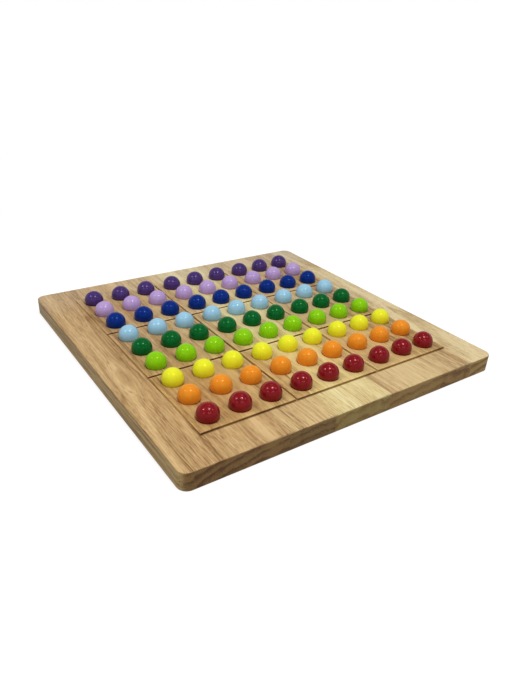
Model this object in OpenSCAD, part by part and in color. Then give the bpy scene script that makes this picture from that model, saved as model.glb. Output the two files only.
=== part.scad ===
// Sudoku board played with coloured balls: an edge-glued wooden board whose top is milled
// into nine raised boxes of three by three sockets, with one ball resting in each socket.
// Millimetres, +Z up, front edge towards -Y, origin at the middle of the underside.

/* [Board] */
// Width of the flat border around the raised boxes
border_w = 34.2; // [20:0.1:60]
// Thickness of the board at its border
board_thick = 17.5; // [12:0.5:30]
// Radius of the four upright corners
corner_radius = 9; // [4:0.5:18]
// Rounding of the outer top and bottom edges
edge_round = 1; // [0.4:0.1:3]

/* [Boxes] */
// Distance between neighbouring balls within a box
cell = 30.8; // [27:0.1:40]
// Width of the groove between two boxes
groove_w = 2.2; // [1:0.1:6]
// Height of the boxes above the border and the groove floors
box_raise = 2; // [0.5:0.1:4]

/* [Balls] */
// Diameter of a ball
ball_d = 20; // [15:0.5:25]
// Depth of a ball's lowest point below the top of its box
seat_depth = 6.8; // [3:0.1:7]
// Gap between a ball and its socket
ball_gap = 0.3; // [0.1:0.05:1]

/* [Staves] */
// Width of the leftmost stave
left_stave_w = 96; // [50:1:120]
// Width of the second stave from the left
inner_stave_w = 47; // [25:0.5:70]
// Width of the pale stave in the middle
pale_stave_w = 63.5; // [25:0.5:75]
// Width of the rightmost stave
right_stave_w = 33; // [15:0.5:50]

/* [Hidden] */
// Boxes in a row, and cells in a row of a box
boxes = 3;
cells = 3;

box_side = cells * cell;
box_pitch = box_side + groove_w;
field_side = boxes * box_side + (boxes - 1) * groove_w;
board_side = field_side + 2 * border_w;

box_top = board_thick + box_raise;
ball_r = ball_d / 2;
ball_z = box_top - seat_depth + ball_r;
socket_r = ball_r + ball_gap;

// Each glue line runs from front to back; the wide stave takes the width that is left
glue_x = [
    -board_side / 2,
    -board_side / 2 + left_stave_w,
    -board_side / 2 + left_stave_w + inner_stave_w,
    -board_side / 2 + left_stave_w + inner_stave_w + pale_stave_w,
    board_side / 2 - right_stave_w,
    board_side / 2,
];
STAVES = ["left_stave", "inner_stave", "pale_stave", "wide_stave", "right_stave"];
stave_colours = ["#bd9664", "#c4a06c", "#d6c08c", "#c8a878", "#d2b98a"];

// Ball colours by row, from the front edge to the back edge
ball_colours = ["red", "orange", "yellow", "lime", "green", "sky", "blue", "lilac", "purple"];
ball_tints = [
    "#7d1a22", "#e88a2a", "#e6e02e", "#83c025", "#0b5a20", "#9cc8de", "#21357a", "#b89ad0", "#55437a",
];
sides = ["left", "middle", "right"];

function ball_node(row, box) = str(ball_colours[row], "_balls_", sides[box]);

// Facets of a round shape
$fn = 96;
// Depth by which the raised boxes reach into the board that carries them
rooting = 1;

// Distance of a line of balls from the middle, where line 0 is leftmost or frontmost
function line_at(line) =
    (floor(line / cells) - (boxes - 1) / 2) * box_pitch + (line % cells - (cells - 1) / 2) * cell;

// Rectangle with round corners, centred on its width and standing on its lower edge
module round_section(width, height, radius) {
    translate([-width / 2, radius]) square([width, height - 2 * radius]);
    translate([-width / 2 + radius, 0]) square([width - 2 * radius, height]);
    for (side = [-1, 1], level = [radius, height - radius])
        translate([side * (width / 2 - radius), level]) circle(radius);
}

// Round corner of the board, with its top and bottom edges eased
module corner_puck() {
    rotate_extrude() intersection() {
        round_section(2 * corner_radius, board_thick, edge_round);
        square([corner_radius, board_thick]);
    }
}

// The whole glued-up board before milling
module blank() {
    straight = board_side - 2 * corner_radius;
    for (turn = [0, 90])
        rotate([90, 0, turn]) linear_extrude(straight, center = true)
            round_section(board_side, board_thick, edge_round);
    for (x = [-1, 1], y = [-1, 1])
        translate([x * straight / 2, y * straight / 2, 0]) corner_puck();
}

// The nine raised boxes, which reach a little way down into the board
module raised_boxes() {
    for (x = [0:boxes - 1], y = [0:boxes - 1])
        translate([line_at(cells * x) - cell / 2, line_at(cells * y) - cell / 2, board_thick - rooting])
            cube([box_side, box_side, box_raise + rooting]);
}

// Sockets of every line of balls that reaches between two glue lines
module sockets(from, to) {
    lines = boxes * cells;
    for (column = [0:lines - 1])
        if (line_at(column) + socket_r > from && line_at(column) - socket_r < to)
            for (row = [0:lines - 1])
                translate([line_at(column), line_at(row), ball_z]) sphere(socket_r);
}

// One stave of the finished board, with the boxes and sockets that fall on it
module stave(index) {
    from = glue_x[index];
    to = glue_x[index + 1];
    color(stave_colours[index]) difference() {
        intersection() {
            union() {
                blank();
                raised_boxes();
            }
            translate([from, -board_side / 2, 0]) cube([to - from, board_side, box_top]);
        }
        sockets(from, to);
    }
}

// The balls of one colour that rest in one box
module balls(row, box) {
    color(ball_tints[row])
        for (column = [cells * box:cells * box + cells - 1])
            translate([line_at(column), line_at(row), ball_z]) sphere(ball_r);
}

for (index = [0:len(STAVES) - 1])
    stave(index);
for (row = [0:len(ball_colours) - 1], box = [0:boxes - 1])
    balls(row, box);
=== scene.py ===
# %% [markdown]
# # A sudoku board played with coloured balls
# The real object is a flat board, glued up from five staves of light hardwood. Its top is
# milled into nine raised boxes, each box has nine round sockets, and a lacquered ball rests in
# every socket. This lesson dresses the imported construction: it never moves or resizes a part,
# it only gives each stave and each ball its finished surface.

# %% Load the frame
import math

import bmesh
import bpy
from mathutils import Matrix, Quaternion, Vector


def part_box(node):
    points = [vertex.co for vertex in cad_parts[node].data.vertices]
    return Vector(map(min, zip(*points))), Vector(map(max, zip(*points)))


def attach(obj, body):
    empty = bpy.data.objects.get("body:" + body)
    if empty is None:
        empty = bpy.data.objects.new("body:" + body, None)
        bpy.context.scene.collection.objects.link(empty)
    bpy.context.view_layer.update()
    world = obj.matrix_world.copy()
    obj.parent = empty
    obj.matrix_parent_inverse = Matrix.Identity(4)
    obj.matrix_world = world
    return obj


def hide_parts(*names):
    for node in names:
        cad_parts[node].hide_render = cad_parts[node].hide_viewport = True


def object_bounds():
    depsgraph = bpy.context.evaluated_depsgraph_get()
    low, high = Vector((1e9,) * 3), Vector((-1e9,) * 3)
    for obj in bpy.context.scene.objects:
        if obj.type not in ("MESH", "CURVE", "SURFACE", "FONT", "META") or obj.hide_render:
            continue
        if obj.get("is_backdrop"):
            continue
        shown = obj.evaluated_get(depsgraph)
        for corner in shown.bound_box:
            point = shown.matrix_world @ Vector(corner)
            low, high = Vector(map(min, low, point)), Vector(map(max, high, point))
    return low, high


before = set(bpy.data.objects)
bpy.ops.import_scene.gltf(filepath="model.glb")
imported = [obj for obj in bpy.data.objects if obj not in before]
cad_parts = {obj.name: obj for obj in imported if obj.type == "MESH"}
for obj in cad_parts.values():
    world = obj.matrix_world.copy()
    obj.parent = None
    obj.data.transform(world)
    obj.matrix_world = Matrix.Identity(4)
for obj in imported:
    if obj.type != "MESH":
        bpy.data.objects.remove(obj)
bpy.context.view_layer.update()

# %% [markdown]
# ## Sizes
# Nearly every size could be typed in again, but a typed copy goes stale when the construction
# changes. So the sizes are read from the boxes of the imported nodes: the right stave carries no
# raised box, so its top is the border, and three balls of one colour give the spacing of cells.

# %% Read the sizes from the nodes
STAVES = ["left", "inner", "pale", "wide", "right"]
ROWS = ["red", "orange", "yellow", "lime", "green", "sky", "blue", "lilac", "purple"]
SIDES = ["left", "middle", "right"]
BOXES = 3
CELLS = 3
MM = 0.001

pad_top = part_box("left_stave")[1].z
border_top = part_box("right_stave")[1].z
glue_lines = [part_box(name + "_stave")[0].x for name in STAVES]
glue_lines.append(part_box("right_stave")[1].x)
board_half = glue_lines[-1]

ball_low, ball_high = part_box("red_balls_left")
ball_radius = (ball_high.z - ball_low.z) / 2
ball_height = (ball_high.z + ball_low.z) / 2
cell = (ball_high.x - ball_low.x - 2 * ball_radius) / (CELLS - 1)
pad_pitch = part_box("red_balls_middle")[0].x - ball_low.x
groove = pad_pitch - CELLS * cell
print(f"cell {cell / MM:.2f} mm, groove {groove / MM:.2f} mm, ball {2 * ball_radius / MM:.2f} mm")

# %% [markdown]
# ## Camera
# The photograph looks down on the front left corner of the board. The viewpoint was worked out
# by fitting a camera to the board's edges and to the balls, so it is written as a place, a
# point that it looks at, and a slight roll. A track constraint would also aim it, but a plain
# rotation is easier to read and to change.

# %% Place the camera
CAMERA_PLACE = Vector((-0.31705, -0.45890, 0.29459))
CAMERA_TARGET = Vector((-0.02239, -0.05274, 0.0175))
CAMERA_ROLL = math.radians(3.1)
CAMERA_LENS = 30.086
CAMERA_SENSOR = 36
CAMERA_NEAR = 0.01

camera_data = bpy.data.cameras.new("camera")
camera_data.lens = CAMERA_LENS
camera_data.sensor_width = CAMERA_SENSOR
camera_data.clip_start = CAMERA_NEAR
camera = bpy.data.objects.new("camera", camera_data)
bpy.context.scene.collection.objects.link(camera)
camera.location = CAMERA_PLACE
camera.rotation_mode = "QUATERNION"
aim = (CAMERA_TARGET - CAMERA_PLACE).to_track_quat("-Z", "Y")
camera.rotation_quaternion = aim @ Quaternion((0, 0, 1), CAMERA_ROLL)
bpy.context.scene.camera = camera
print("camera looks along", tuple(round(v, 3) for v in aim @ Vector((0, 0, -1))))

# %% [markdown]
# ## Helpers for node trees
# Materials and Geometry Nodes are both trees of nodes. They could be drawn by hand in Blender,
# but written down they can be read and repeated. These few helpers keep each step on one line:
# a value that is a socket is linked, and any other value is typed into the socket.


# %% Define the node helpers
def add(tree, kind, inputs=None, **settings):
    made = tree.nodes.new(kind)
    for key, value in settings.items():
        setattr(made, key, value)
    for key, value in (inputs or {}).items():
        if isinstance(value, bpy.types.NodeSocket):
            tree.links.new(value, made.inputs[key])
        else:
            made.inputs[key].default_value = value
    return made


def maths(tree, operation, first, second=0.0):
    return add(tree, "ShaderNodeMath", {0: first, 1: second}, operation=operation).outputs[0]


def vectors(tree, operation, first, second):
    inputs = {0: first, 1: second}
    return add(tree, "ShaderNodeVectorMath", inputs, operation=operation).outputs[0]


def scaled(tree, vector, factor):
    inputs = {0: vector, "Scale": factor}
    return add(tree, "ShaderNodeVectorMath", inputs, operation="SCALE").outputs[0]


def length_of(tree, vector):
    return add(tree, "ShaderNodeVectorMath", {0: vector}, operation="LENGTH").outputs["Value"]


def parts_of(tree, vector):
    return add(tree, "ShaderNodeSeparateXYZ", {0: vector}).outputs


def mixed(tree, factor, first, second, blend="MIX"):
    inputs = {0: factor, 6: first, 7: second}
    return add(tree, "ShaderNodeMix", inputs, data_type="RGBA", blend_type=blend).outputs[2]


def eased(tree, value, low, high, to_low=0.0, to_high=1.0):
    """The value carried from one range to another, flat outside it and soft at both ends."""
    inputs = {"Value": value, "From Min": low, "From Max": high}
    inputs.update({"To Min": to_low, "To Max": to_high})
    made = add(tree, "ShaderNodeMapRange", inputs, interpolation_type="SMOOTHSTEP")
    return made.outputs["Result"]


def noise(tree, place, size, detail=1.0, roughness=0.5):
    """Noise whose grains have the given size along each axis."""
    place = vectors(tree, "MULTIPLY", place, [1 / length for length in size])
    inputs = {"Vector": place, "Scale": 1.0, "Detail": detail, "Roughness": roughness}
    return add(tree, "ShaderNodeTexNoise", inputs).outputs


def new_group(name, kind, inputs, outputs):
    tree = bpy.data.node_groups.new(name, kind)
    for label, socket in inputs.items():
        tree.interface.new_socket(name=label, in_out="INPUT", socket_type="NodeSocket" + socket)
    for label, socket in outputs.items():
        tree.interface.new_socket(name=label, in_out="OUTPUT", socket_type="NodeSocket" + socket)
    return tree, add(tree, "NodeGroupInput").outputs


def new_material(name):
    material = bpy.data.materials.new(name)
    material.use_nodes = True
    material.node_tree.nodes.clear()
    return material, material.node_tree


def colour(red, green, blue):
    """A colour written as on a screen, 0 to 255, turned into the linear light of shaders."""
    parts = [value / 255 for value in (red, green, blue)]
    linear = [p / 12.92 if p <= 0.04045 else ((p + 0.055) / 1.055) ** 2.4 for p in parts]
    return (*linear, 1.0)


print("node helpers are ready")

# %% [markdown]
# ## Floor
# The photograph has a pure white ground. More light would make the floor white, but it would
# also bleach the wood. Instead the floor shows white only to the rays that show the background,
# and stays grey for the light that it throws on the board. Close to the board, part of its
# white is lit by the lamps, so the board keeps its shadow.

# %% Make the floor
FLOOR_SIZE = 12.0
FLOOR_GREY = (0.30, 0.30, 0.30, 1)
SHADOW_NEAR = 0.30
SHADOW_FAR = 0.60
GLOW_NEAR = 0.78
LIT_WHITE = 0.34
GLOSS_FLOOR = 0.2


def background_rays(tree, mirrored):
    """1 for the rays that show the background, where mirrored is the share that gloss sees."""
    path = add(tree, "ShaderNodeLightPath").outputs
    gloss = maths(tree, "MULTIPLY", path["Is Glossy Ray"], mirrored)
    seen = maths(tree, "MAXIMUM", path["Is Camera Ray"], gloss)
    return maths(tree, "MAXIMUM", seen, path["Is Transmission Ray"])


floor_material, tree = new_material("white ground")
away = length_of(tree, add(tree, "ShaderNodeTexCoord").outputs["Object"])
glow = eased(tree, away, SHADOW_NEAR, SHADOW_FAR, GLOW_NEAR, 1.0)
glow = add(tree, "ShaderNodeEmission", {"Strength": glow})
lit = eased(tree, away, SHADOW_NEAR, SHADOW_FAR, LIT_WHITE, 0.0)
lit = add(tree, "ShaderNodeBsdfDiffuse", {"Color": lit})
white = add(tree, "ShaderNodeAddShader", {0: glow.outputs[0], 1: lit.outputs[0]})
grey = add(tree, "ShaderNodeBsdfDiffuse", {"Color": FLOOR_GREY})
shown = {0: background_rays(tree, GLOSS_FLOOR), 1: grey.outputs[0], 2: white.outputs[0]}
add(tree, "ShaderNodeOutputMaterial", {0: add(tree, "ShaderNodeMixShader", shown).outputs[0]})

floor_mesh = bpy.data.meshes.new("ground")
reach = FLOOR_SIZE / 2
corners = [(-reach, -reach, 0), (reach, -reach, 0), (reach, reach, 0), (-reach, reach, 0)]
floor_mesh.from_pydata(corners, [], [(0, 1, 2, 3)])
floor_mesh.materials.append(floor_material)
floor = bpy.data.objects.new("ground", floor_mesh)
bpy.context.scene.collection.objects.link(floor)
floor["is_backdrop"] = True
print("the floor is", FLOOR_SIZE, "m wide")

# %% [markdown]
# ## World
# About half of the light comes from the world itself, a soft dome that is brightest straight
# overhead, like a large ceiling light. An even sky would be simpler, but it would flatten the
# balls, which are lighter on top. Gloss sees a sky of its own, pale low down and calm overhead,
# so that the balls stay deep in colour. The background is white, as the floor is.

# %% Make the world
DOME_SIDE = 0.34
DOME_TOP = 1.0
DOME_FOCUS = 8.0
DOME_TINT = (1.0, 0.99, 0.97, 1.0)
GLOSS_LOW = 0.6
GLOSS_HIGH = 0.12
CALM_FROM = 0.35
CALM_TO = 0.6

world = bpy.data.worlds.new("studio")
world.use_nodes = True
tree = world.node_tree
tree.nodes.clear()
sky = add(tree, "ShaderNodeTexCoord").outputs["Generated"]
rise = maths(tree, "MAXIMUM", parts_of(tree, sky)["Z"], 0.0)
focus = maths(tree, "MULTIPLY", maths(tree, "POWER", rise, DOME_FOCUS), DOME_TOP)
dome = maths(tree, "ADD", maths(tree, "MULTIPLY", rise, DOME_SIDE), focus)
gloss = add(tree, "ShaderNodeLightPath").outputs["Is Glossy Ray"]
calm = eased(tree, rise, CALM_FROM, CALM_TO, GLOSS_LOW, GLOSS_HIGH)
light = {"Factor": gloss, "A": dome, "B": calm}
light = add(tree, "ShaderNodeMix", light, data_type="FLOAT").outputs["Result"]
light = add(tree, "ShaderNodeBackground", {"Color": DOME_TINT, "Strength": light})
white = add(tree, "ShaderNodeBackground", {"Color": (1, 1, 1, 1), "Strength": 1.0})
shown = {0: background_rays(tree, 0.0), 1: light.outputs[0], 2: white.outputs[0]}
add(tree, "ShaderNodeOutputWorld", {0: add(tree, "ShaderNodeMixShader", shown).outputs[0]})
bpy.context.scene.world = world
bpy.context.scene.view_settings.view_transform = "Standard"
print("the dome is", DOME_SIDE + DOME_TOP, "bright overhead")

# %% [markdown]
# ## Lamps
# Each ball in the photograph shows one bright highlight, a weaker one to the left of it and a
# few faint ones, like the lamps of a ceiling. They were placed by turning each highlight's spot
# on a ball into the direction that it mirrors. Sun lamps would also give highlights, but small
# round area lamps give them the right size and soften the shadows. Together they give about
# half of the light on the board.

# %% Hang the lamps
LAMP_DISTANCE = 1.3
LAMP_SIZE = 0.2
LAMPS = {
    "overhead": {"towards": (0.01, -0.32, 0.95), "watts": 5.6},
    "left": {"towards": (-0.60, 0.15, 0.78), "watts": 2.7},
    "right": {"towards": (0.46, -0.48, 0.75), "watts": 0.6},
    "near left": {"towards": (-0.79, -0.32, 0.52), "watts": 0.5},
    "near middle": {"towards": (-0.35, -0.72, 0.60), "watts": 0.5},
    "near right": {"towards": (-0.11, -0.81, 0.58), "watts": 0.5},
    "far": {"towards": (0.26, 0.19, 0.95), "watts": 0.5},
}
for name, lamp in LAMPS.items():
    light = bpy.data.lights.new(name + " lamp", "AREA")
    light.shape = "DISK"
    light.size = LAMP_SIZE
    light.energy = lamp["watts"]
    hung = bpy.data.objects.new(name + " lamp", light)
    bpy.context.scene.collection.objects.link(hung)
    towards = Vector(lamp["towards"]).normalized()
    hung.location = towards * LAMP_DISTANCE
    hung.rotation_mode = "QUATERNION"
    hung.rotation_quaternion = towards.to_track_quat("Z", "Y")
print(len(LAMPS), "lamps,", round(sum(lamp["watts"] for lamp in LAMPS.values()), 1), "W in all")

# %% [markdown]
# ## Grain
# The board is a pale hardwood. Its grain runs along each stave, drifts slowly aside and bends
# around a small eye on the left. A picture of wood would repeat and would not fit the end
# grain. A solid pattern in three dimensions does: the growth rings are tubes around an axis
# that runs almost along the stave, so the same numbers give straight bands on top, arches where
# the axis is oblique, and ring arcs on the sawn ends.

# %% Bend the grain
# Each grain has a size in mm across, along and up, then its noise's detail and roughness
GRAINS = {
    "drift": ((60, 230, 60), 2.0, 0.5),
    "rings": ((14, 400, 14), 1.0, 0.5),
    "streak": ((2.4, 150, 2.4), 3.0, 0.7),
    "fibre": ((0.7, 65, 0.7), 2.0, 0.6),
    "fleck": ((0.9, 4.5, 0.9), 1.0, 0.5),
    "pore": ((0.5, 18, 0.5), 1.0, 0.4),
    "crowd": ((7, 70, 7), 1.0, 0.5),
}
EYE_STRETCH = (1, 0.3, 0.6)
EYE_PINCH = -0.75
RING_WANDER = 1.2
LATE_FROM = 0.2
LATE_TO = 0.85


def bend_grain(tree, given):
    """The place in mm, bent by the drift and around the eye, and how near it is to the eye."""
    place = scaled(tree, given["Vector"], 1 / MM)
    aside = vectors(tree, "SUBTRACT", place, scaled(tree, given["Knot"], 1 / MM))
    aside = vectors(tree, "MULTIPLY", aside, EYE_STRETCH)
    knot = eased(tree, length_of(tree, aside), 0.0, given["Knot Size"], 1.0, 0.0)
    pinch = vectors(tree, "MULTIPLY", aside, (1, 0, 0))
    pinch = scaled(tree, pinch, maths(tree, "MULTIPLY", knot, EYE_PINCH))
    drift = noise(tree, place, *GRAINS["drift"])["Color"]
    drift = scaled(tree, vectors(tree, "SUBTRACT", drift, (0.5, 0.5, 0.5)), given["Warp"])
    return vectors(tree, "ADD", vectors(tree, "ADD", place, pinch), drift), knot


def late_wood(tree, given, bent):
    """How late in its season each ring grew: it darkens slowly and then breaks off."""
    radius = length_of(tree, vectors(tree, "MULTIPLY", bent, (1, 0, 1)))
    uneven = noise(tree, bent, *GRAINS["rings"])["Fac"]
    turns = maths(tree, "DIVIDE", radius, given["Ring Pitch"])
    turns = maths(tree, "ADD", turns, maths(tree, "MULTIPLY", uneven, RING_WANDER))
    season = maths(tree, "FRACT", turns)
    darkens = eased(tree, season, LATE_FROM, LATE_TO)
    return maths(tree, "SUBTRACT", darkens, eased(tree, season, LATE_TO, 1.0))


print(len(GRAINS), "grains, the finest", GRAINS["pore"][0][0], "mm across")

# %% [markdown]
# ## Wood
# On the bent grain lie long streaks, fine fibres, small flecks and short dark pore lines. The
# eye is smooth, dark in the middle and paler around it. The sawn ends drink more oil and are
# darker. Sockets, grooves and the wood around the balls are darkened by scorch from the cutter
# and by painted shade. Each stave could have its own tree of nodes, but all of them share these
# effects, so they are one group with named inputs. It ends in a colour, a roughness and a
# height, and the shader stays in each material.

# %% Build the wood pattern
# Two ends of the range, then the values there: 1 is the middle of the eye, 0 is outside it
EYE_DARK = (0.55, 0.9, 0.0, -0.45)
EYE_PALE = (0.1, 0.35, 0.0, 0.22)
EYE_SMOOTH = (0.5, 0.8, 1.0, 0.3)
TONE_MIDDLE = 0.5
LATE_MEAN = 0.45
END_FIGURE = 2.5
FLECK_SHARE = 0.3
PORE_CUT = (0.58, 0.68)
PORE_CROWDS = (0.25, 0.6)
PORE_COLOUR = (0.42, 0.33, 0.24, 1)
# Colour of scorch from the cutter and of painted shade in the sockets, grooves and around the
# balls
SCORCH_AND_SHADE_COLOUR = (0.25, 0.14, 0.04, 1)
CLEAR = (1, 1, 1, 1)
WOOD_ROUGH = 0.46
FIBRE_ROUGH = 0.16
PORE_ROUGH = 0.2
FIBRE_HEIGHT = 0.5


def centred(tree, value, strength, middle=0.5):
    return maths(tree, "MULTIPLY", maths(tree, "SUBTRACT", value, middle), strength)


def build_wood_pattern():
    inputs = {
        "Vector": "Vector",
        "Light": "Color",
        "Middle": "Color",
        "Dark": "Color",
        "Ring Pitch": "Float",
        "Warp": "Float",
        "Figure": "Float",
        "Streaks": "Float",
        "Fibres": "Float",
        "Pores": "Float",
        "Knot": "Vector",
        "Knot Size": "Float",
        "Shade": "Float",
        "Ends": "Color",
        "End Grain": "Float",
        "Scorch And Shade": "Float",
    }
    outputs = {"Color": "Color", "Roughness": "Float", "Height": "Float"}
    tree, given = new_group("stave wood", "ShaderNodeTree", inputs, outputs)
    bent, knot = bend_grain(tree, given)

    streak = noise(tree, bent, *GRAINS["streak"])["Fac"]
    fibre = noise(tree, bent, *GRAINS["fibre"])["Fac"]
    fleck = noise(tree, bent, *GRAINS["fleck"])["Fac"]
    figure = centred(tree, given["End Grain"], -END_FIGURE, -1 / END_FIGURE)
    figure = maths(tree, "MULTIPLY", given["Figure"], figure)
    smooth = eased(tree, knot, *EYE_SMOOTH)
    streaks = maths(tree, "MULTIPLY", given["Streaks"], smooth)
    fibres = maths(tree, "MULTIPLY", given["Fibres"], smooth)
    tone = maths(tree, "ADD", given["Shade"], TONE_MIDDLE)
    tone = maths(tree, "ADD", tone, eased(tree, knot, *EYE_DARK))
    tone = maths(tree, "ADD", tone, eased(tree, knot, *EYE_PALE))
    for part in (
        centred(tree, late_wood(tree, given, bent), figure, LATE_MEAN),
        centred(tree, streak, streaks),
        centred(tree, fibre, fibres),
        centred(tree, fleck, maths(tree, "MULTIPLY", fibres, FLECK_SHARE)),
    ):
        tone = maths(tree, "ADD", tone, part)
    body = mixed(tree, eased(tree, tone, 0.0, TONE_MIDDLE), given["Dark"], given["Middle"])
    body = mixed(tree, eased(tree, tone, TONE_MIDDLE, 1.0), body, given["Light"])

    dashes = eased(tree, noise(tree, bent, *GRAINS["pore"])["Fac"], *PORE_CUT)
    crowd = eased(tree, noise(tree, bent, *GRAINS["crowd"])["Fac"], *PORE_CROWDS)
    pore = maths(tree, "MULTIPLY", maths(tree, "MULTIPLY", dashes, crowd), given["Pores"])
    body = mixed(tree, pore, body, PORE_COLOUR, "MULTIPLY")
    soaked = mixed(tree, given["End Grain"], CLEAR, given["Ends"])
    body = mixed(tree, 1.0, body, soaked, "MULTIPLY")
    # Darken by scorch and by painted shade
    scorched_and_shaded = mixed(tree, given["Scorch And Shade"], CLEAR, SCORCH_AND_SHADE_COLOUR)
    body = mixed(tree, 1.0, body, scorched_and_shaded, "MULTIPLY")

    rough = maths(tree, "ADD", maths(tree, "MULTIPLY", fibre, FIBRE_ROUGH), WOOD_ROUGH)
    rough = maths(tree, "ADD", rough, maths(tree, "MULTIPLY", pore, PORE_ROUGH))
    height = maths(tree, "SUBTRACT", maths(tree, "MULTIPLY", fibre, FIBRE_HEIGHT), pore)
    add(tree, "NodeGroupOutput", {"Color": body, "Roughness": rough, "Height": height})
    return tree


wood_pattern = build_wood_pattern()
print("wood pattern with", len(wood_pattern.nodes), "nodes")

# %% [markdown]
# ## Five woods
# The staves come from different planks, so each has its own colours, its own distance from the
# heart of the tree and its own tilt. Broad bands along the stave make it paler or darker. One
# material with random values could serve all, but the photograph shows which stave is pale and
# which is figured, so each one is set one by one.

# %% Choose the woods
NO_KNOT = (1.0, 0.0, 0.0)
# Tones run from light to dark; each band has its place and reach in mm, then its tone; far is
# how much the back end darkens; the painted sheen value is how much the back end whitens with
# a painted sheen; drift is how far the bands bend, in mm
STAVE_WOODS = {
    "left": {
        "tones": [(220, 187, 136), (195, 159, 109), (148, 110, 66)],
        "ends": (0.53, 0.44, 0.29, 1),
        "heart": (-0.080, 0.0, -0.180),
        "lean": (1.6, 0.0, 0.4),
        "drift": 8,
        "far": 0.0,
        "painted_sheen": 0.11,
        "bands": [
            (-163, 7, 0.2),
            (-151, 7, -0.12),
            (-144, 4, -0.15),
            (-135, 5, -0.28),
            (-112, 5, 0.15),
            (-87, 9, 0.62),
        ],
        "knot": (-0.158, -0.034, 0.0175),
        "rings": {"Ring Pitch": 8.0, "Warp": 9.0, "Figure": 0.22},
        "lines": {"Streaks": 1.05, "Fibres": 1.9, "Pores": 0.65},
    },
    "inner": {
        "tones": [(224, 197, 145), (206, 175, 124), (160, 124, 78)],
        "ends": (0.48, 0.40, 0.26, 1),
        "heart": (-0.050, 0.0, -0.150),
        "lean": (0.8, 0.0, -0.6),
        "drift": 2,
        "far": -0.05,
        "painted_sheen": 0.12,
        "bands": [(-84, 4, -0.3), (-72, 4, 0.2), (-66, 4, -0.2), (-55, 9, 0.1), (-36, 5, 0.35)],
        "knot": NO_KNOT,
        "rings": {"Ring Pitch": 8.0, "Warp": 8.0, "Figure": 0.18},
        "lines": {"Streaks": 0.9, "Fibres": 2.6, "Pores": 0.75},
    },
    "pale": {
        "tones": [(240, 226, 172), (227, 207, 150), (187, 155, 101)],
        "ends": (0.58, 0.48, 0.30, 1),
        "heart": (0.010, 0.0, -0.170),
        "lean": (0.6, 0.0, 0.5),
        "drift": 2,
        "far": -0.05,
        "painted_sheen": 0.25,
        "bands": [(-31, 5, -0.25), (-9, 9, 0.35), (4, 5, -0.1), (20, 5, 0.35)],
        "knot": NO_KNOT,
        "rings": {"Ring Pitch": 10.0, "Warp": 8.0, "Figure": 0.18},
        "lines": {"Streaks": 0.9, "Fibres": 2.2, "Pores": 0.6},
    },
    "wide": {
        "tones": [(230, 206, 157), (216, 188, 138), (166, 131, 88)],
        "ends": (0.66, 0.54, 0.33, 1),
        "heart": (0.090, 0.0, -0.200),
        "lean": (1.0, 0.0, -0.5),
        "drift": 3,
        "far": -0.08,
        "painted_sheen": 0.2,
        # The dark band at 139 mm is partly darker wood by the glue line and partly painted shade
        # from the right column of balls
        "bands": [(40, 8, -0.15), (84, 26, 0.12), (107, 6, -0.3), (127, 22, -0.3), (139, 5, -0.3)],
        "knot": NO_KNOT,
        "rings": {"Ring Pitch": 11.0, "Warp": 8.0, "Figure": 0.15},
        "lines": {"Streaks": 0.8, "Fibres": 1.8, "Pores": 0.55},
    },
    "right": {
        "tones": [(234, 215, 171), (220, 199, 152), (184, 154, 108)],
        "ends": (0.70, 0.56, 0.31, 1),
        "heart": (0.160, 0.0, -0.090),
        "lean": (2.4, 0.0, 1.6),
        "drift": 4,
        "far": -0.12,
        "painted_sheen": 0.28,
        # The dark band at 143 mm is partly the dark glue line and partly painted shade at the foot
        # of the boxes' right wall
        "bands": [(143, 4, -0.8), (149, 4, 0.15), (161, 6, 0.1)],
        "knot": NO_KNOT,
        "rings": {"Ring Pitch": 8.0, "Warp": 26.0, "Figure": 0.6},
        "lines": {"Streaks": 1.2, "Fibres": 2.3, "Pores": 0.55},
    },
}
print("woods chosen for", len(STAVE_WOODS), "staves")

# %% [markdown]
# ## A finish for every stave
# A finish places the shared pattern at its stave's own heart and lean, and tells it which faces
# are sawn ends and which are sides, where the lines of the grain are stronger. A painted mask
# could mark those faces, but the direction that a face looks in already says it. The side faces
# are painted lighter, standing in for the light on them. Two more tints are painted light and
# shade: the front boxes are darker and more golden with painted warm shade among the balls, and
# the wood along the back edge is whiter with a painted sheen.

# %% Shade the growth bands
DRIFT_FROM = -0.165
DRIFT_TO = -0.055
WAVE = 0.007
WAVE_SIZE = (0.05, 0.19, 0.05)


def growth_bands(tree, place, wood):
    """Paler and darker bands along the stave, which bend aside by the drift towards the front."""
    across, along, _ = parts_of(tree, place)
    across = maths(tree, "ADD", across, centred(tree, noise(tree, place, WAVE_SIZE)["Fac"], WAVE))
    aside = eased(tree, along, DRIFT_FROM, DRIFT_TO, wood["drift"] * MM, 0.0)
    across = maths(tree, "ADD", across, aside)
    shade = eased(tree, along, 0.0, board_half, 0.0, wood["far"])
    for middle, reach, tone in wood["bands"]:
        away = maths(tree, "ABSOLUTE", maths(tree, "SUBTRACT", across, middle * MM))
        shade = maths(tree, "ADD", eased(tree, away, 0.0, reach * MM, tone, 0.0), shade)
    return shade


print(sum(len(wood["bands"]) for wood in STAVE_WOODS.values()), "growth bands in all")

# %% Make the stave finishes
PORE_DEPTH = 0.08 * MM
WOOD_BUMP = 0.5
WOOD_GLOSS = 0.4
WOOD_SHEEN = 0.12
SHEEN_ROUGH = 0.35
KNOT_SIZE = 14.0
FACE_RANGE = (0.5, 0.95)
SIDE_STREAKS = 2.4
# The side faces are painted lighter and a little greener, standing in for the light on them
PAINTED_SIDE_LIGHT = (1.08, 1.11, 0.96, 1.0)
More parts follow.
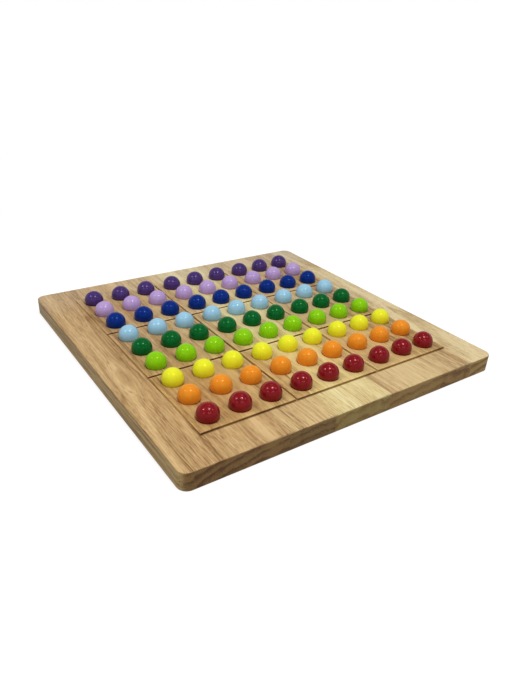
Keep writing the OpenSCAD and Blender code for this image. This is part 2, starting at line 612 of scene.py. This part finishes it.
# Painted warm shade and bounce light among the front balls, a golden darkening
PAINTED_WARM_SHADE = (1.0, 0.92, 0.68, 1.0)
BORDER_WARM_SHADE = 0.15
PAD_WARM_SHADE = 0.75
WARM_SHADE_FROM = -0.09
WARM_SHADE_TO = 0.03
# A painted sheen whitens the wood along the back edge, standing in for light glancing off it
PAINTED_SHEEN = (0.75, 0.72, 0.62, 1.0)
PAINTED_SHEEN_FROM = 0.10
PAINTED_SHEEN_TO = 0.155


def stave_finish(name, wood):
    material, tree = new_material(name + " stave wood")
    place = add(tree, "ShaderNodeTexCoord").outputs
    turned = {
        "Location": [-value for value in wood["heart"]],
        "Rotation": [math.radians(angle) for angle in wood["lean"]],
    }
    grain = add(tree, "ShaderNodeMapping", {"Vector": place["Object"], **turned}).outputs[0]
    knot = add(tree, "ShaderNodeMapping", {"Vector": wood["knot"], **turned}).outputs[0]
    aside, facing, _ = parts_of(tree, place["Normal"])
    side = eased(tree, maths(tree, "ABSOLUTE", aside), *FACE_RANGE)
    end = eased(tree, maths(tree, "ABSOLUTE", facing), *FACE_RANGE)
    side_streaks = maths(tree, "MULTIPLY", side, SIDE_STREAKS)
    light, middle, dark = [colour(*tone) for tone in wood["tones"]]
    inputs = {
        "Vector": grain,
        "Light": light,
        "Middle": middle,
        "Dark": dark,
        "Knot": knot,
        "Knot Size": KNOT_SIZE,
        "Shade": growth_bands(tree, place["Object"], wood),
        "Ends": wood["ends"],
        "End Grain": end,
        # Scorch and painted shade, as the mesh carries them
        "Scorch And Shade": add(tree, "ShaderNodeAttribute", attribute_name="milled").outputs["Fac"],
        **wood["rings"],
        **wood["lines"],
        "Streaks": maths(tree, "ADD", side_streaks, wood["lines"]["Streaks"]),
    }
    pattern = add(tree, "ShaderNodeGroup", inputs, node_tree=wood_pattern).outputs

    _, along, up = parts_of(tree, place["Object"])
    # Painted warm shade: the front box tops, and a little of the border, are darkened and warmed
    warm_shade = eased(tree, up, border_top, pad_top, BORDER_WARM_SHADE, PAD_WARM_SHADE)
    warm_shade = maths(tree, "MULTIPLY", warm_shade, eased(tree, along, WARM_SHADE_FROM, WARM_SHADE_TO, 1.0, 0.0))
    body = mixed(tree, warm_shade, pattern["Color"], PAINTED_WARM_SHADE, "MULTIPLY")
    # Painted light on the side faces
    body = mixed(tree, side, body, PAINTED_SIDE_LIGHT, "MULTIPLY")
    # Painted sheen, whitening the wood towards the back edge
    painted_sheen = eased(tree, along, PAINTED_SHEEN_FROM, PAINTED_SHEEN_TO, 0.0, wood["painted_sheen"])
    bump = {"Height": pattern["Height"], "Strength": WOOD_BUMP, "Distance": PORE_DEPTH}
    shader = {
        "Base Color": mixed(tree, painted_sheen, body, PAINTED_SHEEN),
        "Roughness": pattern["Roughness"],
        "Normal": add(tree, "ShaderNodeBump", bump).outputs[0],
        "Specular IOR Level": WOOD_GLOSS,
        "Sheen Weight": WOOD_SHEEN,
        "Sheen Roughness": SHEEN_ROUGH,
    }
    surface = add(tree, "ShaderNodeBsdfPrincipled", shader)
    add(tree, "ShaderNodeOutputMaterial", {0: surface.outputs[0]})
    return material


stave_finishes = {name: stave_finish(name, wood) for name, wood in STAVE_WOODS.items()}
print("stave finishes:", ", ".join(stave_finishes))

# %% [markdown]
# ## One raised box
# A raised box is a square pad with nine round sockets. Cutting it with booleans works, but it
# leaves long thin faces around the holes, and they are hard to round off. Here the pad is laid
# out as rings instead: each socket grows from its bottom to its rounded rim and then to the
# square of its cell, and the pad's edge is rolled over and taken down into the groove. Every
# point also carries how far it is darkened by scorch from the cutter and by painted shade,
# which lies in the sockets, around the balls and in the grooves.


# %% Lay rings of points
def ring(mesh, points, scorch_and_shade_amounts):
    layer = mesh.verts.layers.float["milled"]
    made = [mesh.verts.new(point) for point in points]
    for vertex, scorch_and_shade_amount in zip(made, scorch_and_shade_amounts):
        vertex[layer] = scorch_and_shade_amount
    return made


def skin(mesh, rings):
    for inner, outer in zip(rings, rings[1:]):
        for step, vertex in enumerate(inner):
            after = (step + 1) % len(inner)
            mesh.faces.new((vertex, outer[step], outer[after], inner[after]))


print("ring helpers are ready")

# %% Shape one socket
BOWL_STEPS = 6
EASE_STEPS = 4
BALL_GAP = 0.3 * MM
RIM_ROUND = 0.5 * MM


def socket_profile():
    """Radius and height of a socket's rings, from just above its lowest point to the pad."""
    socket_radius = ball_radius + BALL_GAP
    drop = ball_height - pad_top + RIM_ROUND
    rim_out = math.sqrt((socket_radius + RIM_ROUND) ** 2 - drop**2)
    lip = math.atan2(rim_out, drop)
    profile = []
    for angle in [lip * step / BOWL_STEPS for step in range(1, BOWL_STEPS + 1)]:
        out = socket_radius * math.sin(angle)
        profile.append((out, ball_height - socket_radius * math.cos(angle)))
    for angle in [lip * (1 - step / EASE_STEPS) for step in range(1, EASE_STEPS + 1)]:
        out = rim_out - RIM_ROUND * math.sin(angle)
        profile.append((out, pad_top - RIM_ROUND + RIM_ROUND * math.cos(angle)))
    return profile


print("a socket has", len(socket_profile()), "rings")

# %% Lay one cell
SIDE_STEPS = 12
EDGE_MARGIN = 0.3 * MM
# The sockets take scorch and painted shade for the dark gap round each ball; the rims and the wood
# between the balls take painted shade
SOCKET_SCORCH_AND_SHADE = 0.8
RIM_PAINTED_SHADE = 0.22
BETWEEN_PAINTED_SHADE = 0.12


def steps_between(low, high, count):
    return [low + (high - low) * step / count for step in range(count)]


def lay_cell(mesh, x_span, y_span, centre, flat_half):
    count = 4 * SIDE_STEPS
    angles = [2 * math.pi * step / count - math.pi / 4 for step in range(count)]
    directions = [(math.cos(angle), math.sin(angle)) for angle in angles]
    rings = []
    for radius, height in socket_profile():
        points = [(centre[0] + radius * x, centre[1] + radius * y, height) for x, y in directions]
        # Painted shade in the socket and on its rim, with scorch in the socket
        scorch_and_shade_amount = SOCKET_SCORCH_AND_SHADE if height < pad_top - RIM_ROUND else RIM_PAINTED_SHADE
        rings.append(ring(mesh, points, [scorch_and_shade_amount] * count))
    (x0, x1), (y0, y1) = x_span, y_span
    square = [(x1, y) for y in steps_between(y0, y1, SIDE_STEPS)]
    square += [(x, y1) for x in steps_between(x1, x0, SIDE_STEPS)]
    square += [(x0, y) for y in steps_between(y1, y0, SIDE_STEPS)]
    square += [(x, y0) for x in steps_between(x0, x1, SIDE_STEPS)]
    between = [max(abs(x), abs(y)) < flat_half - EDGE_MARGIN for x, y in square]
    # Painted shade on the wood between the balls, none at the pad's outer edge
    scorch_and_shade_amounts = [BETWEEN_PAINTED_SHADE if inside else 0.0 for inside in between]
    rings.append(ring(mesh, [(x, y, pad_top) for x, y in square], scorch_and_shade_amounts))
    skin(mesh, rings)
    lowest = ring(mesh, [(*centre, ball_height - ball_radius - BALL_GAP)], [SOCKET_SCORCH_AND_SHADE])[0]
    for step, vertex in enumerate(rings[0]):
        mesh.faces.new((lowest, vertex, rings[0][(step + 1) % count]))


print("a cell's square has", 4 * SIDE_STEPS, "points")

# %% [markdown]
# ### The pad's edge
# Each scorch and painted shade of the edge has one value for walls along the grain and one for
# walls across it. The walls across the grain face the front and the back, and their darker
# painted shade stands in for the shade in those grooves. One value would be simpler, but then
# the lines from front to back would be as dark as the lines from left to right.

# %% Lay out a pad
PAD_ROUND = 0.4 * MM
FOOT_LINE = 0.5 * MM
FOOT_REACH = 0.85 * MM
# Scorch and painted shade of the pad's edge, walls, foot and groove, along and across the grain
EDGE_SCORCH_AND_SHADE = (0.0, 0.15)
WALL_SCORCH_AND_SHADE = (0.0, 0.25)
DEEP_SCORCH_AND_SHADE = (0.05, 1.0)
FOOT_SCORCH_AND_SHADE = (0.7, 1.0)
GROOVE_SCORCH_AND_SHADE = (0.65, 0.95)
MERGE_DISTANCE = 0.001 * MM


def quarter_turn():
    return [math.pi / 2 * step / EASE_STEPS for step in range(EASE_STEPS + 1)]


def edge_profile():
    """How far out and how high the rings of the pad's edge are, and their scorch and painted
    shade.
    """
    profile = []
    for angle in quarter_turn():
        drop = PAD_ROUND * (1 - math.cos(angle))
        scorch_and_shade_amount = [share * math.sin(2 * angle) for share in EDGE_SCORCH_AND_SHADE]
        profile.append((PAD_ROUND * math.sin(angle), pad_top - drop, scorch_and_shade_amount))
    profile[-1] = (PAD_ROUND, pad_top - PAD_ROUND, WALL_SCORCH_AND_SHADE)
    profile.append((PAD_ROUND, border_top + FOOT_LINE, DEEP_SCORCH_AND_SHADE))
    profile.append((PAD_ROUND, border_top, FOOT_SCORCH_AND_SHADE))
    profile.append((PAD_ROUND + FOOT_REACH, border_top, GROOVE_SCORCH_AND_SHADE))
    profile.append((PAD_ROUND + groove / 2, border_top, GROOVE_SCORCH_AND_SHADE))
    return profile


def lay_pad(mesh):
    flat_half = CELLS * cell / 2 - PAD_ROUND
    lines = [-flat_half, -cell / 2, cell / 2, flat_half]
    spans = list(zip(lines, lines[1:]))
    for column, x_span in enumerate(spans):
        for row, y_span in enumerate(spans):
            centre = ((column - 1) * cell, (row - 1) * cell)
            lay_cell(mesh, x_span, y_span, centre, flat_half)
    stops = [stop for span in spans for stop in steps_between(*span, SIDE_STEPS)]
    edge = [(flat_half, s) for s in stops] + [(-s, flat_half) for s in stops]
    edge += [(-flat_half, -s) for s in stops] + [(s, -flat_half) for s in stops]
    rings = []
    for out, height, (along, across) in edge_profile():
        grown = (flat_half + out) / flat_half
        scorch_and_shade_amounts = ([along] * len(stops) + [across] * len(stops)) * 2
        rings.append(ring(mesh, [(x * grown, y * grown, height) for x, y in edge], scorch_and_shade_amounts))
    skin(mesh, rings)


pad = bmesh.new()
pad.verts.layers.float.new("milled")
lay_pad(pad)
bmesh.ops.remove_doubles(pad, verts=pad.verts, dist=MERGE_DISTANCE)
pad_mesh = bpy.data.meshes.new("raised box")
pad.to_mesh(pad_mesh)
pad.free()
print("one raised box has", len(pad_mesh.polygons), "faces")

# %% [markdown]
# ## Nine boxes
# The nine boxes are the same, so Geometry Nodes repeat one of them on a grid of points. The
# copies meet in the middle of the grooves, where they are merged into one surface. Nine copies
# in a Python loop would do too, but the tree shows its rule: a pitch and a number of boxes.


# %% Run a tree on a mesh
def set_inputs(modifier, values):
    for item in modifier.node_group.interface.items_tree:
        if item.item_type == "SOCKET" and item.in_out == "INPUT" and item.name in values:
            modifier[item.identifier] = values[item.name]


def plain_mesh(obj, name):
    """The object's mesh with its modifiers applied, as a mesh of its own."""
    shaped = obj.evaluated_get(bpy.context.evaluated_depsgraph_get())
    made = bpy.data.meshes.new_from_object(shaped)
    made.name = name
    bpy.data.objects.remove(obj)
    return made


def node_shaped(name, mesh, tree, values):
    """A plain mesh made by running a Geometry Nodes tree on another mesh."""
    obj = bpy.data.objects.new(name + " in the making", mesh)
    bpy.context.scene.collection.objects.link(obj)
    modifier = obj.modifiers.new(name, "NODES")
    modifier.node_group = tree
    set_inputs(modifier, values)
    return plain_mesh(obj, name)


print("mesh helpers are ready")


# %% Repeat the pad on a grid
def build_field_tree():
    inputs = {"Geometry": "Geometry", "Pitch": "Float", "Boxes": "Int", "Finish": "Material"}
    outputs = {"Geometry": "Geometry"}
    tree, given = new_group("boxes on a grid", "GeometryNodeTree", inputs, outputs)
    span = maths(tree, "SUBTRACT", given["Boxes"], 1.0)
    span = maths(tree, "MULTIPLY", given["Pitch"], span)
    sizes = {"Size X": span, "Size Y": span}
    sizes.update({"Vertices X": given["Boxes"], "Vertices Y": given["Boxes"]})
    grid = add(tree, "GeometryNodeMeshGrid", sizes).outputs["Mesh"]
    copies = {"Points": grid, "Instance": given["Geometry"]}
    copies = add(tree, "GeometryNodeInstanceOnPoints", copies).outputs[0]
    real = add(tree, "GeometryNodeRealizeInstances", {0: copies}).outputs[0]
    whole = {"Geometry": real, "Distance": MERGE_DISTANCE}
    whole = add(tree, "GeometryNodeMergeByDistance", whole).outputs[0]
    painted = {"Geometry": whole, "Material": given["Finish"]}
    painted = add(tree, "GeometryNodeSetMaterial", painted).outputs[0]
    add(tree, "NodeGroupOutput", {0: painted})
    return tree


field_values = {"Pitch": pad_pitch, "Boxes": BOXES, "Finish": stave_finishes["left"]}
field_mesh = node_shaped("raised boxes", pad_mesh, build_field_tree(), field_values)
print("nine boxes have", len(field_mesh.polygons), "faces")

# %% [markdown]
# ## Border and edges
# Around the boxes lies the flat border, then the eased outer edge, the upright side and the
# underside. These are again rings, this time rounded squares that shrink and drop along the
# edge's quarter circles. Only the flat border is filled with triangles, because its inner
# square and its outer rounded square have different numbers of points. The walls along the
# border are open to the light, so they keep only a share of their scorch and painted shade,
# and the border itself has none.

# %% Calm the outer walls
# The walls along the border keep only a share of their scorch and painted shade
OUTER_SHARE = (0.33, 0.52)

board = bmesh.new()
board.from_mesh(field_mesh)
layer = board.verts.layers.float["milled"]
field_half = pad_pitch + CELLS * cell / 2
for vertex in board.verts:
    aside, ahead = abs(vertex.co.x), abs(vertex.co.y)
    if max(aside, ahead) > field_half - PAD_ROUND / 2:
        vertex[layer] *= OUTER_SHARE[0] if aside > ahead else OUTER_SHARE[1]
field_edge = [edge for edge in board.edges if edge.is_boundary]
for edge in field_edge:
    for vertex in edge.verts:
        vertex[layer] = 0.0
print("the boxes end in", len(field_edge), "edges")

# %% Close the board
CORNER_RADIUS = 9 * MM
OUTER_ROUND = 1 * MM
CORNER_STEPS = 14


def rounded_square(half, radius, height):
    points = []
    for quarter in range(4):
        start = quarter * math.pi / 2
        turn = start + math.pi / 4
        middle = (half - radius) * math.sqrt(2)
        for step in range(CORNER_STEPS + 1):
            angle = start + math.pi / 2 * step / CORNER_STEPS
            x = middle * math.cos(turn) + radius * math.cos(angle)
            y = middle * math.sin(turn) + radius * math.sin(angle)
            points.append((x, y, height))
    return points


profile = []
for angle in quarter_turn():
    inset = OUTER_ROUND * (1 - math.sin(angle))
    profile.append((inset, border_top - OUTER_ROUND * (1 - math.cos(angle))))
for angle in quarter_turn():
    inset = OUTER_ROUND * (1 - math.cos(angle))
    profile.append((inset, OUTER_ROUND * (1 - math.sin(angle))))
rings = []
for inset, height in profile:
    points = rounded_square(board_half - inset, CORNER_RADIUS - inset, height)
    rings.append(ring(board, points, [0.0] * len(points)))
skin(board, rings)
board.faces.new(list(reversed(rings[-1])))
border_edge = [edge for edge in board.edges if edge.is_boundary]
bmesh.ops.triangle_fill(board, use_beauty=True, edges=border_edge, normal=(0, 0, 1))
loose = [edge for edge in board.edges if not edge.is_manifold]
print("the closed board has", len(board.faces), "faces and", len(loose), "open edges")

# %% [markdown]
# ## Five staves
# The real board is glued up first and milled afterwards, so the sockets run across the glue
# lines. The mesh follows the same order: the closed board is sawn along each glue line, and
# each cut is closed again. Every stave is then a closed piece of its own that rides on the
# board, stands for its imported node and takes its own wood.

# %% Saw the board into staves
FLAT_LIMIT = 0.9999


def saw(mesh, place, away):
    parts = mesh.verts[:] + mesh.edges[:] + mesh.faces[:]
    plane = {"plane_co": (place, 0, 0), "plane_no": (away, 0, 0)}
    bmesh.ops.bisect_plane(mesh, geom=parts, clear_outer=True, **plane)
    opened = [edge for edge in mesh.edges if edge.is_boundary]
    bmesh.ops.holes_fill(mesh, edges=opened, sides=0)


for name, left, right in zip(STAVES, glue_lines, glue_lines[1:]):
    stave = board.copy()
    if name != STAVES[0]:
        saw(stave, left, -1)
    if name != STAVES[-1]:
        saw(stave, right, 1)
    bmesh.ops.recalc_face_normals(stave, faces=stave.faces)
    for face in stave.faces:
        face.smooth = max(abs(part) for part in face.normal) < FLAT_LIMIT
    mesh = bpy.data.meshes.new("plank_" + name)
    stave.to_mesh(mesh)
    stave.free()
    mesh.materials.clear()
    mesh.materials.append(stave_finishes[name])
    plank = bpy.data.objects.new("plank_" + name, mesh)
    bpy.context.scene.collection.objects.link(plank)
    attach(plank, "board")
    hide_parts(name + "_stave")
    print(plank.name, "has", len(mesh.polygons), "faces")
board.free()

# %% [markdown]
# ## Lacquer
# The balls are turned from wood and dipped in a bright lacquer. A single flat colour would look
# like plastic, so a shared pattern adds what a dipped coat shows: a faint cloudiness of the
# colour, a skin that is not perfectly even, and the grain of the wood just felt through it. The
# dye lies near the surface, so the highlights take on some of the colour of their ball, and
# each colour has its own gloss. Both were matched to the photograph.

# %% Build the lacquer pattern
CLOUD_SIZE = (4, 4, 4)
CLOUD_DETAIL = 3.0
CLOUD_ROUGH = 0.6
CLOUD_RANGE = (0.35, 0.75)
PEEL_SIZE = (2.4, 2.4, 2.4)
FELT_GRAIN_SIZE = (0.6, 0.6, 9)
FELT_GRAIN = 0.35
LACQUER_ROUGH = 0.16
PEEL_ROUGH = 0.06


def build_lacquer_pattern():
    inputs = {"Vector": "Vector", "Colour": "Color", "Deep": "Color", "Cloud": "Float"}
    outputs = {"Color": "Color", "Roughness": "Float", "Height": "Float"}
    tree, given = new_group("dipped lacquer", "ShaderNodeTree", inputs, outputs)
    place = scaled(tree, given["Vector"], 1 / MM)
    cloud = noise(tree, place, CLOUD_SIZE, CLOUD_DETAIL, CLOUD_ROUGH)["Fac"]
    cloud = maths(tree, "MULTIPLY", eased(tree, cloud, *CLOUD_RANGE), given["Cloud"])
    body = mixed(tree, cloud, given["Colour"], given["Deep"])
    peel = noise(tree, place, PEEL_SIZE)["Fac"]
    grain = noise(tree, place, FELT_GRAIN_SIZE)["Fac"]
    height = maths(tree, "ADD", peel, maths(tree, "MULTIPLY", grain, FELT_GRAIN))
    rough = maths(tree, "ADD", maths(tree, "MULTIPLY", peel, PEEL_ROUGH), LACQUER_ROUGH)
    add(tree, "NodeGroupOutput", {"Color": body, "Roughness": rough, "Height": height})
    return tree


lacquer_pattern = build_lacquer_pattern()
print("lacquer pattern with", len(lacquer_pattern.nodes), "nodes")

# %% Mix the nine lacquers
SKIN_DEPTH = 0.04 * MM
SKIN_BUMP = 0.08
CLOUDINESS = 0.7
# Each lacquer has its colour, the colour of its clouds, the tint of its highlights and its gloss
LACQUERS = {
    "red": [(140, 20, 28), (122, 12, 20), (255, 188, 190), 0.45],
    "orange": [(246, 152, 42), (236, 138, 34), (215, 180, 120), 0.32],
    "yellow": [(244, 246, 48), (236, 236, 40), (215, 205, 110), 0.32],
    "lime": [(144, 213, 18), (130, 200, 8), (203, 255, 137), 0.32],
    "green": [(12, 100, 43), (6, 88, 33), (149, 255, 188), 0.24],
    "sky": [(162, 210, 237), (150, 200, 230), (225, 255, 255), 0.35],
    "blue": [(14, 47, 131), (8, 39, 117), (137, 160, 255), 0.24],
    "lilac": [(193, 165, 221), (182, 152, 212), (243, 226, 255), 0.4],
    "purple": [(75, 53, 117), (64, 44, 104), (225, 203, 255), 0.34],
}


def lacquer_finish(name, main, deep, shine, gloss):
    material, tree = new_material(name + " lacquer")
    local = add(tree, "ShaderNodeAttribute", attribute_name="ball_place").outputs["Vector"]
    shift = add(tree, "ShaderNodeAttribute", attribute_name="ball_shift").outputs["Vector"]
    inputs = {
        "Vector": vectors(tree, "ADD", local, shift),
        "Colour": colour(*main),
        "Deep": colour(*deep),
        "Cloud": CLOUDINESS,
    }
    pattern = add(tree, "ShaderNodeGroup", inputs, node_tree=lacquer_pattern).outputs
    bump = {"Height": pattern["Height"], "Strength": SKIN_BUMP, "Distance": SKIN_DEPTH}
    shader = {
        "Base Color": pattern["Color"],
        "Roughness": pattern["Roughness"],
        "Normal": add(tree, "ShaderNodeBump", bump).outputs[0],
        "Specular IOR Level": gloss,
        "Specular Tint": colour(*shine),
    }
    surface = add(tree, "ShaderNodeBsdfPrincipled", shader)
    add(tree, "ShaderNodeOutputMaterial", {0: surface.outputs[0]})
    return material


lacquers = {name: lacquer_finish(name, *tones) for name, tones in LACQUERS.items()}
print("lacquers:", ", ".join(lacquers))

# %% [markdown]
# ## Balls
# Three balls of one colour rest in each box of a row. A plain sphere would be too perfect: a
# turned ball has a tiny flat where it was parted from the lathe, and it lies in its socket at
# any angle. One ball is made in mesh code, and a Geometry Nodes tree sets three of them in a
# row, turns each one at random from a fixed seed, and gives the surface its slight unevenness.

# %% Turn one ball
BALL_AROUND = 64
BALL_UP = 32
NIB_RADIUS = 0.9 * MM
LUMPS = 0.03 * MM

turned = bmesh.new()
turned_radius = ball_radius - LUMPS
facets = {"u_segments": BALL_AROUND, "v_segments": BALL_UP}
bmesh.ops.create_uvsphere(turned, radius=turned_radius, **facets)
nib_height = math.sqrt(turned_radius**2 - NIB_RADIUS**2)
for vertex in turned.verts:
    vertex.co.z = max(-nib_height, min(nib_height, vertex.co.z))
ball_mesh = bpy.data.meshes.new("turned ball")
turned.to_mesh(ball_mesh)
turned.free()
print("one ball has", len(ball_mesh.polygons), "faces")

# %% Build the tree that lays a row
LUMP_SIZE = (0.006, 0.006, 0.006)
FULL_TURN = (2 * math.pi, 2 * math.pi, 2 * math.pi)
SHIFT_SEED = 100.0


def build_ball_tree():
    inputs = {
        "Geometry": "Geometry",
        "First": "Vector",
        "Spacing": "Float",
        "Balls": "Int",
        "Lumps": "Float",
        "Seed": "Int",
        "Finish": "Material",
    }
    outputs = {"Geometry": "Geometry"}
    tree, given = new_group("balls in a row", "GeometryNodeTree", inputs, outputs)
    of_vectors = {"data_type": "FLOAT_VECTOR"}
    inner = add(tree, "GeometryNodeInputPosition").outputs[0]
    ball = {"Geometry": given["Geometry"], "Name": "ball_place", "Value": inner}
    ball = add(tree, "GeometryNodeStoreNamedAttribute", ball, **of_vectors).outputs[0]
    apart = add(tree, "ShaderNodeCombineXYZ", {"X": given["Spacing"]}).outputs[0]
    line = {"Count": given["Balls"], "Start Location": given["First"], "Offset": apart}
    line = add(tree, "GeometryNodeMeshLine", line).outputs[0]
    turn = {0: (0, 0, 0), 1: FULL_TURN, "Seed": given["Seed"]}
    turn = add(tree, "FunctionNodeRandomValue", turn, **of_vectors).outputs[0]
    copies = {"Points": line, "Instance": ball, "Rotation": turn}
    copies = add(tree, "GeometryNodeInstanceOnPoints", copies).outputs[0]

    shift = maths(tree, "ADD", given["Seed"], SHIFT_SEED)
    shift = {0: (0, 0, 0), 1: (1, 1, 1), "Seed": shift}
    shift = add(tree, "FunctionNodeRandomValue", shift, **of_vectors).outputs[0]
    copies = {"Geometry": copies, "Name": "ball_shift", "Value": shift}
    of_vectors["domain"] = "INSTANCE"
    copies = add(tree, "GeometryNodeStoreNamedAttribute", copies, **of_vectors).outputs[0]
    real = add(tree, "GeometryNodeRealizeInstances", {0: copies}).outputs[0]

    spot = add(tree, "GeometryNodeInputPosition").outputs[0]
    swell = centred(tree, noise(tree, spot, LUMP_SIZE)[0], given["Lumps"])
    push = scaled(tree, add(tree, "GeometryNodeInputNormal").outputs[0], swell)
    uneven = add(tree, "GeometryNodeSetPosition", {"Geometry": real, "Offset": push}).outputs[0]
    smooth = add(tree, "GeometryNodeSetShadeSmooth", {"Geometry": uneven}).outputs[0]
    painted = {"Geometry": smooth, "Material": given["Finish"]}
    painted = add(tree, "GeometryNodeSetMaterial", painted).outputs[0]
    add(tree, "NodeGroupOutput", {0: painted})
    return tree


ball_tree = build_ball_tree()
print("ball tree with", len(ball_tree.nodes), "nodes")

# %% Set the balls in rows of three
for row, name in enumerate(ROWS):
    for box, side in enumerate(SIDES):
        node = f"{name}_balls_{side}"
        low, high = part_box(node)
        middle = (low + high) / 2
        values = {
            "First": (middle.x - cell, middle.y, middle.z),
            "Spacing": cell,
            "Balls": CELLS,
            "Lumps": LUMPS,
            "Seed": row * BOXES + box,
            "Finish": lacquers[name],
        }
        mesh = node_shaped(f"{name}_trio_{side}", ball_mesh, ball_tree, values)
        trio = bpy.data.objects.new(mesh.name, mesh)
        bpy.context.scene.collection.objects.link(trio)
        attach(trio, node)
        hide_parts(node)
    print(name, "balls lie", round(middle.y / MM, 1), "mm from the middle")

# %% [markdown]
# ## Size
# The last line prints the size of the dressed model's box. The dressed model has to stay
# inside the construction's own box.

# %% Print the size of the dressed model
low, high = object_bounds()
print("visual box:", [round(v / MM, 2) for v in high - low], "mm")
